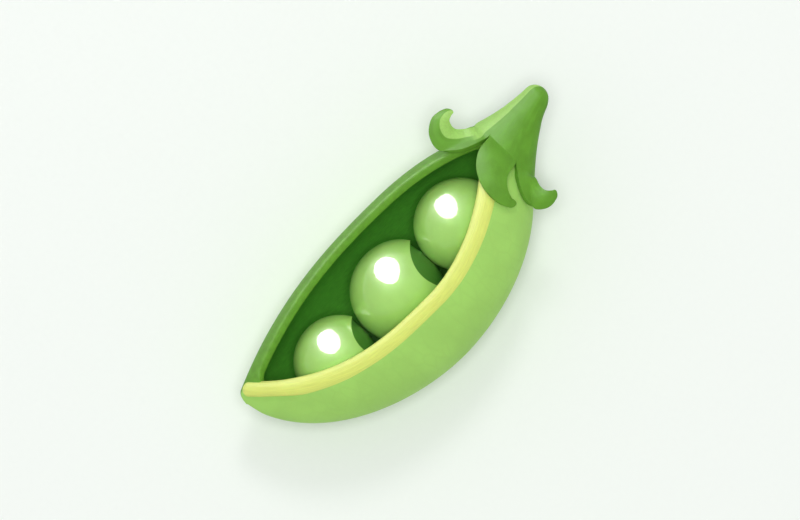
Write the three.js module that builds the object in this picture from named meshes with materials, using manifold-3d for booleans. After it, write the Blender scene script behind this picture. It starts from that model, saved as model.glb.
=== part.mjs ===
// A short garden pea pod, opened along its upper seam, lying on its belly with three peas inside.
// Millimetres, +Z up. +X runs along the pod from the blossom end to the stem, +Y towards the rear valve.
// The origin is the middle of the bounding box's underside, on the surface that the pod lies on.
import * as THREE from "three";
import { mergeVertices } from "three/addons/utils/BufferGeometryUtils.js";
import Module from "manifold-3d";

const wasm = await Module();
wasm.setup();

// ---------------------------------------------------------------- driving dimensions

// The pod. Its shape is worked out from about the blossom end, at x = 0, before the part is centred.
const POD = { from: -0.42, to: 41.2, endInset: 0.02 };
const BLOSSOM_END = { y: 4.9, z: 8.5 };
const STEM_END = { y: 5.1, z: 10.2 };
const NOSE = { y: 3.4, length: 0.6 }; // the blunt blossom end: where it points, and how long its rounding is
// How far the front valve stands out from the line between the two ends, and how fast that fades.
const FRONT_VALVE = { bulge: 14.7, leftPower: 1.86, rightPower: 1.93 };
const REAR_EDGE = { x: 23.3, y: 9.42, leftPower: 2.4, rightPower: 2.6 }; // its widest point
const BELLY = { depth: 9.75, power: 2.4 }; // from that line down to the keel
const CROWN = { height: 5.8, power: 3 }; // and up to the front lip
const WAIST_SAG = 1.95; // how far the widest level lies below the line
const FLAT_CUT = 0.3; // what the belly is pressed flat by, where it lies on the table
const WALL = 1.05;

// The opening between the two lips. The front one runs from startY down to lowY and up again to endY.
const FRONT_LIP = { x: 22.2, startY: 5.6, lowY: -3.2, endY: 7.6, leftPower: 2.9, rightPower: 2.03 };
const REAR_LIP_WIDTH = { middle: 1.63, ends: 2.0 }; // seen from above
const OPENING = { from: 1.2, to: 39.2, taper: 2.2 };
const CAVITY = { from: 1.3, to: 39.4, taper: 1.5, endRoom: 0.25 };
const SEAM_SLIT = 0.05; // between the lips where the seam is closed, in radians

// The pale strand along the front lip, which widens towards the stem.
const STRAND = {
  from: 0.55,
  to: 38.0,
  halfWidth: 0.93,
  stemHalfWidth: 1.0,
  widensFrom: 22,
  widensTo: 28,
  halfThickness: 0.7,
  proud: 0.15,
  endTaper: 0.45,
  blunting: 0.04,
};

// The peas, round but for a dish where the next one towards the stem has pressed them. A dish is part of
// an upright round, given by its middle and radius.
const PEAS = [
  { end: "blossom_end", x: 10.15, y: -0.43, z: 7, radius: 5.16, dish: { x: 16.67, y: -1.03, radius: 3.75 } },
  { end: "middle", x: 20.4, y: 0.2, z: 7.1, radius: 5.76, dish: { x: 27.7, y: -0.17, radius: 4.53 } },
  { end: "stem_end", x: 30.15, y: 0.85, z: 7.45, radius: 5.18 },
];

// The stalks that the peas hang by, from the lip straight down to the pea.
const FUNICLE = { lipRadius: 0.34, peaRadius: 0.6, lean: 1.2, sink: 0.4, inwards: 0.5 };

// The calyx and the stem share one flare, from the stem's straight part to the rim of the cup.
const FLARE = { from: 46.6, rim: 39.3, radiusPower: 1.55, axisPower: 1.25 };
const STEM_RADIUS = 1.5;
const RIM_RADIUS = { y: 4.45, z: 3.9 };
const STEM_AXIS = { y: 4.82, z: 11.75 };
const RIM_AXIS = { y: 3.0, z: 8.9 };
const NECK_X = 43.4; // where the calyx ends and the stem begins
const CUP_FLOOR_X = 40.4; // the cup is solid from here to its neck
const CUP_THICKNESS = 0.75;
const SEPAL_THICKNESS = 0.5;
const SEPAL_CUPPING = 0.25; // how far a sepal's edges turn down, as a share of its half-width
const SEPAL_ROOTS_END = 0.35; // the share of a sepal's length over which it thins from the cup's thickness
const ROOT_RUN = 1.2; // how far back in the cup a sepal takes its direction from
const SEPAL_REST = { from: 0.15, softness: 0.3 }; // the share of its length after which it lies on the pod

// Each sepal springs from its share of the rim, in degrees from +Y over the top. Each stop gives the places
// of its two edges, seen from above, and the level between them. The last stop is the tip.
const SEPALS = [
  {
    span: [-20, 56],
    facing: [0, 0.35, 0.94],
    stops: [
      [[38.35, 7.58], [38.15, 5.55], 11.2],
      [[37.65, 7.93], [36.7, 6.05], 11.3],
      [[37.15, 8.4], [35.4, 6.85], 11.45],
      [[37.02, 8.85], [34.22, 8.3], 11.6],
      [[37.09, 9.32], [34.63, 9.98], 11.75],
      [[37.34, 9.8], [35.8, 10.98], 11.9],
      [[37.8, 9.98], [36.88, 11.16], 12.0],
      [[38.17, 10.0], [37.87, 10.92], 12.05],
      [[38.35, 10.0], [38.32, 10.42], 12.1],
    ],
  },
  {
    span: [56, 112],
    facing: [0, 0, 1],
    stops: [
      [[38.1, 5.2], [38.4, 1.2], 12.9],
      [[36.95, 4.9], [37.75, 1.12], 13.45],
      [[35.75, 3.95], [37.1, 0.75], 13.85],
      [[34.9, 2.6], [36.55, 0.15], 14.05],
      [[34.6, 1.0], [36.22, -0.5], 14.0],
      [[34.72, -0.55], [36.1, -0.95], 13.85],
      [[35.2, -1.65], [36.1, -1.2], 13.6],
      [[35.75, -2.15], [36.35, -1.65], 13.3],
    ],
  },
  {
    span: [112, 190],
    facing: [-0.1, -0.4, 0.9],
    stops: [
      [[38.35, 0.4], [39.3, -1.5], 11.2],
      [[37.65, -0.7], [39.26, -1.95], 11.4],
      [[37.15, -1.8], [39.22, -2.38], 11.5],
      [[36.98, -2.8], [39.25, -2.77], 11.55],
      [[37.25, -3.72], [39.34, -3.11], 11.6],
      [[38.03, -4.38], [39.55, -3.38], 11.65],
      [[38.88, -4.62], [39.85, -3.62], 11.7],
      [[39.6, -4.55], [40.05, -3.72], 11.8],
      [[40.0, -4.38], [40.3, -3.78], 11.9],
    ],
  },
  {
    span: [190, 265],
    facing: [0, -0.7, -0.7],
    stops: [
      [[38.2, -0.85], [38.2, 1.25], 5.3],
      [[37.2, -1.3], [37.2, 0.5], 4.4],
      [[36.55, -1.85], [36.65, -0.35], 3.7],
      [[36.55, -2.3], [36.7, -1.15], 3.1],
      [[37.1, -2.4], [37.3, -1.8], 2.8],
    ],
  },
  {
    span: [265, 340],
    facing: [0, 0.5, -0.85],
    stops: [
      [[38.2, 4.2], [38.2, 6.8], 5.2],
      [[37.2, 5.1], [37.2, 7.3], 4.5],
      [[36.65, 5.9], [36.75, 7.7], 3.8],
      [[36.7, 6.5], [36.9, 7.85], 3.2],
      [[37.3, 6.95], [37.5, 7.65], 2.9],
    ],
  },
];

const STEM = { to: 47.15, roundFrom: 45.75, blunting: 0.02 };

// Neighbours that touch keep a sliver of air, because their surfaces are faceted.
const SNUG = 0.15;

const LEAST_RADIUS = 0.02; // no section shrinks to less
const SLOPE_STEP = 0.05; // how far either way the strand's direction is taken over
const SAME_POINT = { loft: 1e-4, sheet: 1e-3 }; // points closer than this are one
const FAR = 60; // beyond the whole part, for the blocks that cut it flat

// Facets.
const POD_STATIONS = 30;
const POD_RING = 30;
const STRAND_STATIONS = 30;
const STRAND_RING = 10;
const PEA_FACETS = { around: 24, down: 16, dish: 32 };
const STEM_STATIONS = 12;
const STEM_RING = 20;
const CALYX_FACETS = { columns: 6, cupRows: 4, floorRows: 4, sepalRows: 14 };
const FUNICLE_FACETS = { steps: 6, ring: 8 };
const CAVITY_MOUTH = 8; // facets across the open side of what is scooped out
const KEEL_STEPS = 200; // for finding the keel's lowest place

const COLOURS = {
  pod: 0x9ccc65,
  strand: 0xdce775,
  pea: 0x9fd06a,
  funicle: 0xb9d68a,
  calyx: 0x689f38,
  stem: 0x689f38,
};

// ---------------------------------------------------------------- small helpers

const { lerp, clamp, smoothstep, degToRad } = THREE.MathUtils;
const vector = (x, y, z) => new THREE.Vector3(x, y, z);

// Places between 0 and 1 that crowd towards both ends, where the pod curves most.
function crowdedSteps(count) {
  return Array.from({ length: count + 1 }, (_, i) => (1 - Math.cos((Math.PI * i) / count)) / 2);
}

// One closed surface through rings of equally many points, with both ends capped by a fan.
function loft(rings) {
  const size = rings[0].length;
  const positions = [];
  const faces = [];
  rings.flat().forEach((p) => positions.push(p.x, p.y, p.z));
  for (let r = 0; r + 1 < rings.length; r++) {
    for (let k = 0; k < size; k++) {
      const a = r * size + k;
      const b = r * size + ((k + 1) % size);
      faces.push(a, b, a + size, b, b + size, a + size);
    }
  }
  for (const [ring, reversed] of [[0, true], [rings.length - 1, false]]) {
    const middle = positions.length / 3;
    const centre = rings[ring].reduce((sum, p) => sum.add(p), vector(0, 0, 0)).divideScalar(size);
    positions.push(centre.x, centre.y, centre.z);
    for (let k = 0; k < size; k++) {
      const a = ring * size + k;
      const b = ring * size + ((k + 1) % size);
      faces.push(...(reversed ? [b, a, middle] : [a, b, middle]));
    }
  }
  const geometry = new THREE.BufferGeometry();
  geometry.setAttribute("position", new THREE.Float32BufferAttribute(positions, 3));
  geometry.setIndex(faces);
  return geometry;
}

// A closed geometry as a manifold-3d solid, turned the right way out.
function solid(geometry) {
  const bare = geometry.clone();
  bare.deleteAttribute("normal");
  bare.deleteAttribute("uv");
  const merged = mergeVertices(bare, SAME_POINT.loft);
  const index = [];
  for (let i = 0; i < merged.index.count; i += 3) {
    const [a, b, c] = [0, 1, 2].map((k) => merged.index.getX(i + k));
    if (a !== b && b !== c && a !== c) index.push(a, b, c);
  }
  const build = (triVerts) =>
    new wasm.Manifold(
      new wasm.Mesh({
        numProp: 3,
        vertProperties: new Float32Array(merged.attributes.position.array),
        triVerts: new Uint32Array(triVerts),
      }),
    );
  const made = build(index);
  return made.volume() > 0 ? made : build(index.reverse());
}

function geometryOf(manifold) {
  const mesh = manifold.getMesh();
  const positions = [];
  for (let i = 0; i < mesh.numVert; i++) {
    positions.push(...mesh.vertProperties.subarray(i * mesh.numProp, i * mesh.numProp + 3));
  }
  const geometry = new THREE.BufferGeometry();
  geometry.setAttribute("position", new THREE.Float32BufferAttribute(positions, 3));
  geometry.setIndex(new THREE.Uint32BufferAttribute(mesh.triVerts, 1));
  geometry.computeVertexNormals();
  return geometry;
}

// 1 at the peak and 0 at both ends, falling off by its own power on each side.
function arch(x, peak, length, leftPower, rightPower) {
  const left = x < peak;
  const away = left ? (peak - x) / peak : (x - peak) / (length - peak);
  return 1 - Math.pow(clamp(away, 0, 1), left ? leftPower : rightPower);
}

// ---------------------------------------------------------------- the pod's outer shape

const along = (x) => clamp((x - POD.from) / (POD.to - POD.from), 0, 1);
const chordY = (x) => lerp(BLOSSOM_END.y, STEM_END.y, along(x));
const chordZ = (x) => lerp(BLOSSOM_END.z, STEM_END.z, along(x));
const fromMiddle = (x) => Math.abs(2 * along(x) - 1);
const fullness = (x, power) => Math.sqrt(Math.max(0, 1 - fromMiddle(x) ** power));

// Both valves turn in to meet at the blunt nose.
function roundedAtNose(x, y) {
  const share = clamp((x - POD.from) / NOSE.length, 0, 1);
  return lerp(NOSE.y, y, Math.sqrt(1 - (1 - share) ** 2));
}
const frontPower = (x) => (along(x) < 0.5 ? FRONT_VALVE.leftPower : FRONT_VALVE.rightPower);
const frontY = (x) => roundedAtNose(x, chordY(x) - FRONT_VALVE.bulge * fullness(x, frontPower(x)));
function rearY(x) {
  const end = x < REAR_EDGE.x ? BLOSSOM_END.y : STEM_END.y;
  const rise = arch(x, REAR_EDGE.x, POD.to, REAR_EDGE.leftPower, REAR_EDGE.rightPower);
  return roundedAtNose(x, lerp(end, REAR_EDGE.y, rise));
}
const keelZ = (x) => chordZ(x) - BELLY.depth * fullness(x, BELLY.power);
const crownZ = (x) => chordZ(x) + CROWN.height * (1 - fromMiddle(x) ** CROWN.power);
const waistZ = (x) => chordZ(x) - WAIST_SAG * (1 - fromMiddle(x) ** 2);

// The section at x: an oval about its widest level. angle 0 points to the rear valve and 90 degrees up.
function section(x) {
  const [front, rear, waist] = [frontY(x), rearY(x), waistZ(x)];
  return {
    y: (front + rear) / 2,
    z: waist,
    halfWidth: (rear - front) / 2,
    above: crownZ(x) - waist,
    below: waist - keelZ(x),
  };
}

// A point on that oval, moved out by grow (or in, where grow is negative).
function skinPoint(x, angle, grow = 0) {
  const s = section(x);
  const height = Math.sin(angle) > 0 ? s.above : s.below;
  return vector(
    x,
    s.y + Math.max(s.halfWidth + grow, LEAST_RADIUS) * Math.cos(angle),
    s.z + Math.max(height + grow, LEAST_RADIUS) * Math.sin(angle),
  );
}

// The way out of the oval there, within the section's plane.
function skinNormal(x, angle) {
  const s = section(x);
  const height = Math.sin(angle) > 0 ? s.above : s.below;
  return vector(0, Math.cos(angle) * height, Math.sin(angle) * s.halfWidth).normalize();
}

// ---------------------------------------------------------------- the two lips

function frontLipY(x) {
  const { x: peak, startY, lowY, endY, leftPower, rightPower } = FRONT_LIP;
  return lerp(x < peak ? startY : endY, lowY, arch(x, peak, POD.to, leftPower, rightPower));
}
function frontLipAngle(x) {
  const s = section(x);
  return Math.acos(clamp((frontLipY(x) - s.y) / s.halfWidth, -1, 1));
}

// 0 where the seam is still closed, 1 where the pod stands wide open.
const openness = (x) =>
  smoothstep(x, OPENING.from, OPENING.from + OPENING.taper) *
  (1 - smoothstep(x, OPENING.to - OPENING.taper, OPENING.to));

function rearLipAngle(x) {
  const { halfWidth } = section(x);
  const width = lerp(REAR_LIP_WIDTH.middle, REAR_LIP_WIDTH.ends, fromMiddle(x) ** 2);
  const wide = Math.acos(clamp((halfWidth - width) / (halfWidth - WALL), -1, 1));
  return lerp(frontLipAngle(x) - SEAM_SLIT, wide, openness(x));
}

// ---------------------------------------------------------------- pod wall

function podOutline(grow) {
  const rings = crowdedSteps(POD_STATIONS).map((share) => {
    const x = lerp(POD.from + POD.endInset, POD.to - POD.endInset, share);
    return Array.from({ length: POD_RING }, (_, k) => skinPoint(x, (2 * Math.PI * k) / POD_RING, grow));
  });
  return solid(loft(rings));
}

// What is scooped out: the inside of the wall, and everything above it between the two lips.
function cavity() {
  const rings = crowdedSteps(POD_STATIONS).map((share) => {
    const x = lerp(CAVITY.from, CAVITY.to, share);
    const ends = Math.min(x - CAVITY.from, CAVITY.to - x);
    const room = lerp(CAVITY.endRoom, 1, smoothstep(ends, 0, CAVITY.taper));
    const s = section(x);
    const inner = (angle) => {
      const p = skinPoint(x, angle, -WALL);
      return vector(x, lerp(s.y, p.y, room), lerp(s.z, p.z, room));
    };
    const outer = (angle) => skinPoint(x, angle, 2 * WALL);
    const [rear, front] = [rearLipAngle(x), frontLipAngle(x)];
    const ring = [];
    for (let k = 0; k <= CAVITY_MOUTH; k++) ring.push(outer(lerp(rear, front, k / CAVITY_MOUTH)));
    for (let k = 0; k <= POD_RING; k++) ring.push(inner(lerp(front, rear + 2 * Math.PI, k / POD_RING)));
    return ring;
  });
  return solid(loft(rings));
}

// ---------------------------------------------------------------- strand on the front lip

function strandAxis(x) {
  const angle = frontLipAngle(x);
  const outward = skinNormal(x, angle);
  const point = skinPoint(x, angle).addScaledVector(outward, STRAND.proud - STRAND.halfThickness);
  return { point, outward };
}

function strand(grow) {
  const { from, to, endTaper, blunting } = STRAND;
  const rings = crowdedSteps(STRAND_STATIONS).map((share) => {
    const x = lerp(from, to, share);
    const { point, outward } = strandAxis(x);
    const ahead = strandAxis(Math.min(x + SLOPE_STEP, to)).point;
    const forward = ahead.sub(strandAxis(Math.max(x - SLOPE_STEP, from)).point).normalize();
    const side = forward.clone().cross(outward).normalize();
    const up = side.clone().cross(forward).normalize();
    const ends = clamp(Math.min(x - from, to - x) / endTaper, 0, 1);
    point.addScaledVector(forward, grow * (1 - ends) * Math.sign(share - 0.5));
    const full = Math.sqrt(clamp(1 - (1 - ends) ** 2, blunting, 1));
    const widening = smoothstep(x, STRAND.widensFrom, STRAND.widensTo);
    const halfWidth = lerp(STRAND.halfWidth, STRAND.stemHalfWidth, widening) + grow;
    const halfThickness = STRAND.halfThickness + grow;
    return Array.from({ length: STRAND_RING }, (_, k) => {
      const a = (2 * Math.PI * k) / STRAND_RING;
      return point
        .clone()
        .addScaledVector(side, halfWidth * full * Math.cos(a))
        .addScaledVector(up, halfThickness * full * Math.sin(a));
    });
  });
  return solid(loft(rings));
}

// ---------------------------------------------------------------- peas and their stalks

// A round seed, dished where the next one towards the stem sits against it.
function pea(index, grow = 0) {
  const { x, y, z, radius, dish } = PEAS[index];
  const ball = new THREE.SphereGeometry(radius + grow, PEA_FACETS.around, PEA_FACETS.down);
  const whole = solid(ball.translate(x, y, z));
  if (!dish) return whole;
  const upright = new THREE.CylinderGeometry(dish.radius, dish.radius, 3 * radius, PEA_FACETS.dish);
  return whole.subtract(solid(upright.rotateX(Math.PI / 2).translate(dish.x, dish.y, z)));
}

// The little stalk by which a pea hangs from the front lip's strand.
function funicle(own) {
  const { lipRadius, peaRadius, lean, sink, inwards } = FUNICLE;
  const top = strandAxis(own.x + lean).point;
  const centre = vector(own.x, own.y, own.z);
  const foot = vector(top.x, top.y - inwards, own.z).sub(centre);
  foot.z = Math.sqrt(own.radius ** 2 - foot.x ** 2 - foot.y ** 2);
  const bottom = foot.setLength(own.radius - sink).add(centre);
  const route = new THREE.LineCurve3(top, bottom);
  const forward = route.getTangent(0);
  const side = vector(1, 0, 0).cross(forward).normalize();
  const across = forward.clone().cross(side);
  const { steps, ring } = FUNICLE_FACETS;
  const rings = Array.from({ length: steps + 1 }, (_, i) => {
    const share = i / steps;
    const radius = lerp(lipRadius, peaRadius, share ** 2);
    return Array.from({ length: ring }, (_, k) => {
      const a = (2 * Math.PI * k) / ring;
      return route
        .getPoint(share)
        .addScaledVector(side, radius * Math.cos(a))
        .addScaledVector(across, radius * Math.sin(a));
    });
  });
  return solid(loft(rings));
}

// ---------------------------------------------------------------- calyx

// The outside of the cup and the stem, shrunk by inset. angle 0 points to +Y and 90 degrees up.
function flarePoint(x, angle, inset = 0) {
  const share = clamp((FLARE.from - x) / (FLARE.from - FLARE.rim), 0, 1);
  const [wide, far] = [share ** FLARE.radiusPower, share ** FLARE.axisPower];
  return vector(
    x,
    lerp(STEM_AXIS.y, RIM_AXIS.y, far) + (lerp(STEM_RADIUS, RIM_RADIUS.y, wide) - inset) * Math.cos(angle),
    lerp(STEM_AXIS.z, RIM_AXIS.z, far) + (lerp(STEM_RADIUS, RIM_RADIUS.z, wide) - inset) * Math.sin(angle),
  );
}
const cupPoint = (x, angle) => flarePoint(x, angle, CUP_THICKNESS / 2);

// Moves a sepal's point straight up (way 1) or down (way -1) by its share, to lie on the pod's skin.
function restOnPod(point, way, share) {
  const s = section(point.x);
  const room = SEPAL_THICKNESS / 2 + STRAND.proud + SNUG;
  const off = (point.y - s.y) / (s.halfWidth + room);
  if (Math.abs(off) >= 1) return point;
  const height = (way > 0 ? s.above : s.below) + room;
  const short = height * Math.sqrt(1 - off ** 2) - way * (point.z - s.z);
  const lift = (short + Math.hypot(short, SEPAL_REST.softness)) / 2;
  return point.setZ(point.z + way * lift * share);
}

// A sepal's middle surface: across is -1 to 1 over its width, out is 0 at the cup and 1 at the tip.
function sepalPoint(sepal, across, out) {
  const [low, high] = sepal.span.map(degToRad);
  const facing = vector(...sepal.facing);
  const count = sepal.stops.length;
  const lengthwise = (at) => {
    const angle = lerp(low, high, (at + 1) / 2);
    const places = [cupPoint(FLARE.rim + ROOT_RUN, angle), cupPoint(FLARE.rim, angle)];
    for (const [edge, otherEdge, level] of sepal.stops) {
      const half = vector((otherEdge[0] - edge[0]) / 2, (otherEdge[1] - edge[1]) / 2, 0);
      const middle = vector(edge[0] + half.x, edge[1] + half.y, level);
      half.z = -facing.dot(half) / facing.z;
      const cupping = SEPAL_CUPPING * half.length() * (1 - at ** 2);
      places.push(middle.addScaledVector(half, at).addScaledVector(facing, cupping));
    }
    return new THREE.CatmullRomCurve3(places, false, "catmullrom").getPoint((1 + out * count) / (1 + count));
  };
  const intoTip = clamp(1 - (1 - out) * count, 0, 1);
  const point = lengthwise(0).lerp(lengthwise(across), Math.sqrt(1 - intoTip ** 2));
  return restOnPod(point, Math.sign(facing.z), smoothstep(out, 0, SEPAL_REST.from));
}

// The calyx as one open sheet. Each patch is a sector of the cup with its sepal.
function calyxSheet({ columns, cupRows, sepalRows }) {
  const positions = [];
  const faces = [];
  const thickness = [];
  for (const sepal of SEPALS) {
    const first = positions.length / 3;
    const [low, high] = sepal.span.map(degToRad);
    for (let row = 0; row <= cupRows + sepalRows; row++) {
      const out = Math.sin((Math.PI / 2) * (Math.max(row - cupRows, 0) / sepalRows));
      const cupX = lerp(NECK_X, FLARE.rim, row / cupRows);
      for (let column = 0; column <= columns; column++) {
        const share = column / columns;
        const inCup = row <= cupRows;
        const p = inCup ? cupPoint(cupX, lerp(low, high, share)) : sepalPoint(sepal, 2 * share - 1, out);
        positions.push(p.x, p.y, p.z);
        thickness.push(lerp(CUP_THICKNESS, SEPAL_THICKNESS, smoothstep(out, 0, SEPAL_ROOTS_END)));
      }
    }
    for (let row = 0; row < cupRows + sepalRows; row++) {
      for (let column = 0; column < columns; column++) {
        const a = first + row * (columns + 1) + column;
        const c = a + columns + 1;
        faces.push(a, a + 1, c, a + 1, c + 1, c);
      }
    }
  }
  const sheet = new THREE.BufferGeometry();
  sheet.setAttribute("position", new THREE.Float32BufferAttribute(positions, 3));
  sheet.setAttribute("thickness", new THREE.Float32BufferAttribute(thickness, 1));
  sheet.setIndex(faces);
  return mergeVertices(sheet, SAME_POINT.sheet);
}

// Gives a sheet its thickness: both faces are moved off it, and its open edges are joined.
function thicken(sheet) {
  sheet.computeVertexNormals();
  const { position, normal, thickness } = sheet.attributes;
  const count = position.count;
  const positions = [];
  for (const side of [0.5, -0.5]) {
    for (let i = 0; i < count; i++) {
      const away = new THREE.Vector3().fromBufferAttribute(normal, i);
      const p = new THREE.Vector3().fromBufferAttribute(position, i);
      p.addScaledVector(away, side * thickness.getX(i));
      positions.push(p.x, p.y, p.z);
    }
  }
  const faces = [];
  const edges = new Map();
  for (let i = 0; i < sheet.index.count; i += 3) {
    const corners = [0, 1, 2].map((k) => sheet.index.getX(i + k));
    if (new Set(corners).size < 3) continue;
    const [a, b, c] = corners;
    faces.push(a, b, c, c + count, b + count, a + count);
    for (const [from, to] of [[a, b], [b, c], [c, a]]) edges.set(`${from},${to}`, [from, to]);
  }
  for (const [from, to] of edges.values()) {
    if (edges.has(`${to},${from}`)) continue;
    faces.push(to, from, to + count, from, from + count, to + count);
  }
  const geometry = new THREE.BufferGeometry();
  geometry.setAttribute("position", new THREE.Float32BufferAttribute(positions, 3));
  geometry.setIndex(faces);
  return solid(geometry);
}

// The receptacle: the solid floor of the cup, between the pod's end and the stem.
function receptacle() {
  const { floorRows } = CALYX_FACETS;
  const sides = CALYX_FACETS.columns * SEPALS.length;
  const rings = Array.from({ length: floorRows + 1 }, (_, i) => {
    const x = lerp(NECK_X, CUP_FLOOR_X, i / floorRows);
    return Array.from({ length: sides }, (_, k) => cupPoint(x, (2 * Math.PI * k) / sides));
  });
  return solid(loft(rings));
}

// ---------------------------------------------------------------- stem

function stem() {
  const { to, roundFrom, blunting } = STEM;
  const from = NECK_X + SNUG;
  const rings = Array.from({ length: STEM_STATIONS + 1 }, (_, i) => {
    const x = lerp(from, to, Math.sin((Math.PI / 2) * (i / STEM_STATIONS)));
    const full = Math.sqrt(clamp(1 - (Math.max(0, x - roundFrom) / (to - roundFrom)) ** 2, blunting, 1));
    const inset = STEM_RADIUS * (1 - full);
    return Array.from({ length: STEM_RING }, (_, k) => flarePoint(x, (2 * Math.PI * k) / STEM_RING, inset));
  });
  return solid(loft(rings));
}

// ---------------------------------------------------------------- assembly

const tableLevel = Math.min(...crowdedSteps(KEEL_STEPS).map((share) => keelZ(share * POD.to))) + FLAT_CUT;

function block(low, high) {
  const box = new THREE.BoxGeometry(...high.map((top, i) => top - low[i]));
  box.translate(...high.map((top, i) => (top + low[i]) / 2));
  return solid(box);
}

const belowTable = block([-FAR, -FAR, -FAR], [FAR, FAR, tableLevel]);
const beyondNeck = block([NECK_X, -FAR, -FAR], [FAR, FAR, FAR]);

const solids = {};
solids.pod_wall = podOutline(0).subtract(cavity()).subtract(strand(SNUG)).subtract(belowTable);
solids.lip_strand = strand(0);
PEAS.forEach((own, i) => {
  solids[`pea_${own.end}`] = pea(i);
});
PEAS.forEach((own, i) => {
  solids[`funicle_${own.end}`] = funicle(own).subtract(pea(i, SNUG)).subtract(strand(SNUG));
});
solids.calyx = thicken(calyxSheet(CALYX_FACETS))
  .add(receptacle())
  .subtract(podOutline(SNUG))
  .subtract(strand(SNUG))
  .subtract(beyondNeck);
solids.stem = stem();

const part = new THREE.Group();
for (const [name, manifold] of Object.entries(solids)) {
  const kind = name.split("_")[0];
  const colour = { pod: COLOURS.pod, lip: COLOURS.strand }[kind] ?? COLOURS[kind];
  const material = new THREE.MeshStandardMaterial({ color: colour, roughness: 0.45, metalness: 0 });
  const mesh = new THREE.Mesh(geometryOf(manifold), material);
  mesh.name = name;
  part.add(mesh);
}
const box = new THREE.Box3().setFromObject(part);
const middle = box.getCenter(new THREE.Vector3());
part.position.set(-middle.x, -middle.y, -box.min.z);

export default part;
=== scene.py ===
"""The looks of an opened garden pea pod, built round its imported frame.

Lengths below are in millimetres and are measured from the pod's blossom end, as in the part's own
source: x runs to the stem, y to the rear valve and z up. to_frame() turns them into the frame's metres.
"""

import math

import bmesh
import bpy
import numpy as np
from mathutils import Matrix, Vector


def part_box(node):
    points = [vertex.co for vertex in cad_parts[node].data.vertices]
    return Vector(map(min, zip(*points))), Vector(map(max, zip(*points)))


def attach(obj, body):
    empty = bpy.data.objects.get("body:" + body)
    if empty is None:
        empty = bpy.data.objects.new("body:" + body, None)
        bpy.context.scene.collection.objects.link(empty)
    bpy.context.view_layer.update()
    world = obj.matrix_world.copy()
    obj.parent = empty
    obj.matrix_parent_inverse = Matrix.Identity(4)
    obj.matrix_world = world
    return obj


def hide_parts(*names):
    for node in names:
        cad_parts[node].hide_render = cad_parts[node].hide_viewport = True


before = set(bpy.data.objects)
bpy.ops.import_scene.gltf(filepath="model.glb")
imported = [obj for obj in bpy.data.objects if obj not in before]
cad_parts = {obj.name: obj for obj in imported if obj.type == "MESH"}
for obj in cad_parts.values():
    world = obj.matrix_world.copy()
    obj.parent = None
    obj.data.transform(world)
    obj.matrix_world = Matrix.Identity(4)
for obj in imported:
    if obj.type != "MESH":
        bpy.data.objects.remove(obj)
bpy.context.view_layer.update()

# ---------------------------------------------------------------- driving dimensions

MM = 0.001
MICRON = 0.000001

POD_FROM, POD_TO = -0.42, 41.2
SOLID_END_INSET = 0.02  # from the pod's very ends to its solid's first and last ring
# y and z of the two ends of a chord. The front, rear, belly and crown bulge out from it, and a bulge
# with a higher power stays full for longer towards the ends.
BLOSSOM_END = (4.9, 8.5)
STEM_END = (5.1, 10.2)
NOSE_Y, NOSE_LENGTH = 3.4, 0.6
# How much fuller the front valve is at the nose, and the length over which that fades.
NOSE_FILL, NOSE_FILL_LENGTH = 0.25, 0.42
FRONT_BULGE, FRONT_POWERS = 14.7, (1.86, 1.93)
REAR_PEAK_X, REAR_PEAK_Y, REAR_POWERS = 23.3, 9.42, (2.3, 2.6)
BELLY_DEPTH, BELLY_POWER = 9.75, 2.4
CROWN_HEIGHT, CROWN_POWER = 5.8, 3.0
WAIST_SAG = 1.95  # how far the widest level lies below the chord
FLAT_CUT = 0.3  # how much of the belly is cut away by the flat it rests on
WALL = 1.05

# The front lip's line from above: where it lies furthest forward, and its y at the start, there and at
# the end.
FRONT_LIP_X, FRONT_LIP_START_Y, FRONT_LIP_LOW_Y, FRONT_LIP_END_Y = 22.2, 5.6, -3.2, 7.6
FRONT_LIP_POWERS = (2.9, 2.03)
REAR_LIP_WIDTHS = (1.63, 2.0)  # in the middle and at the ends
# The slit between the lips, in radians, where the opening starts and at the closed nose.
SEAM_SLIT, CLOSED_SLIT = 0.05, 0.003
# Where the opening and the cavity start and end, and the length over which both narrow to nothing.
OPENING_FROM, OPENING_TO, OPENING_TAPER = 1.2, 39.2, 2.2
CAVITY_FROM, CAVITY_TO, CAVITY_TAPER = 1.3, 39.4, 1.5

STRAND_FROM, STRAND_TO = 0.55, 38.0
# The strand's half-width at the tip, in the middle and at the stem end, and where it changes.
STRAND_HALF_WIDTHS, STRAND_TIP_TO, STRAND_WIDENS = (0.85, 1.03, 1.1), (2.5, 6), (22, 28)
STRAND_FORWARD = 0.14  # how far it lies in front of the lip's line, except at the tip
STRAND_HALF_THICKNESS, STRAND_PROUD, STRAND_TAPER = 0.7, 0.15, 0.45
STRAND_TIP_PROUD, STRAND_TIP = 0.46, (3.2, 6.5)  # it stands out further over the closed seam at the tip

# The upright round of each pea's dish: its middle and radius. The last pea has none.
DISHES = [((16.67, -1.03), 3.75), ((27.7, -0.17), 4.53), None]
DISH_DEPTH = 0.33  # the dish's depth, as a share of the way in to that round

# The stem and the cup are one flare, from the stem's round to the cup's oval rim. The axes give y and z.
FLARE_FROM, FLARE_RIM, FLARE_RADIUS_POWER, FLARE_AXIS_POWER = 46.6, 39.3, 1.55, 1.25
STEM_RADIUS, RIM_RADII = 1.5, (4.45, 3.9)
STEM_AXIS, RIM_AXIS = (4.82, 11.75), (3.0, 8.9)
NECK_X = 43.4
CUP_THICKNESS, SEPAL_THICKNESS, SEPAL_CUPPING, SEPAL_ROOTS_END = 0.75, 0.5, 0.25, 0.35
# How many stops before a sepal's tip its rounding starts, and the tip's share of the thickness.
TIP_ROUNDING, TIP_THINNESS = 3, 0.35
SEPAL_ROOM = 0.55  # from the pod's skin to the middle of a sepal that lies on it
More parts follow.
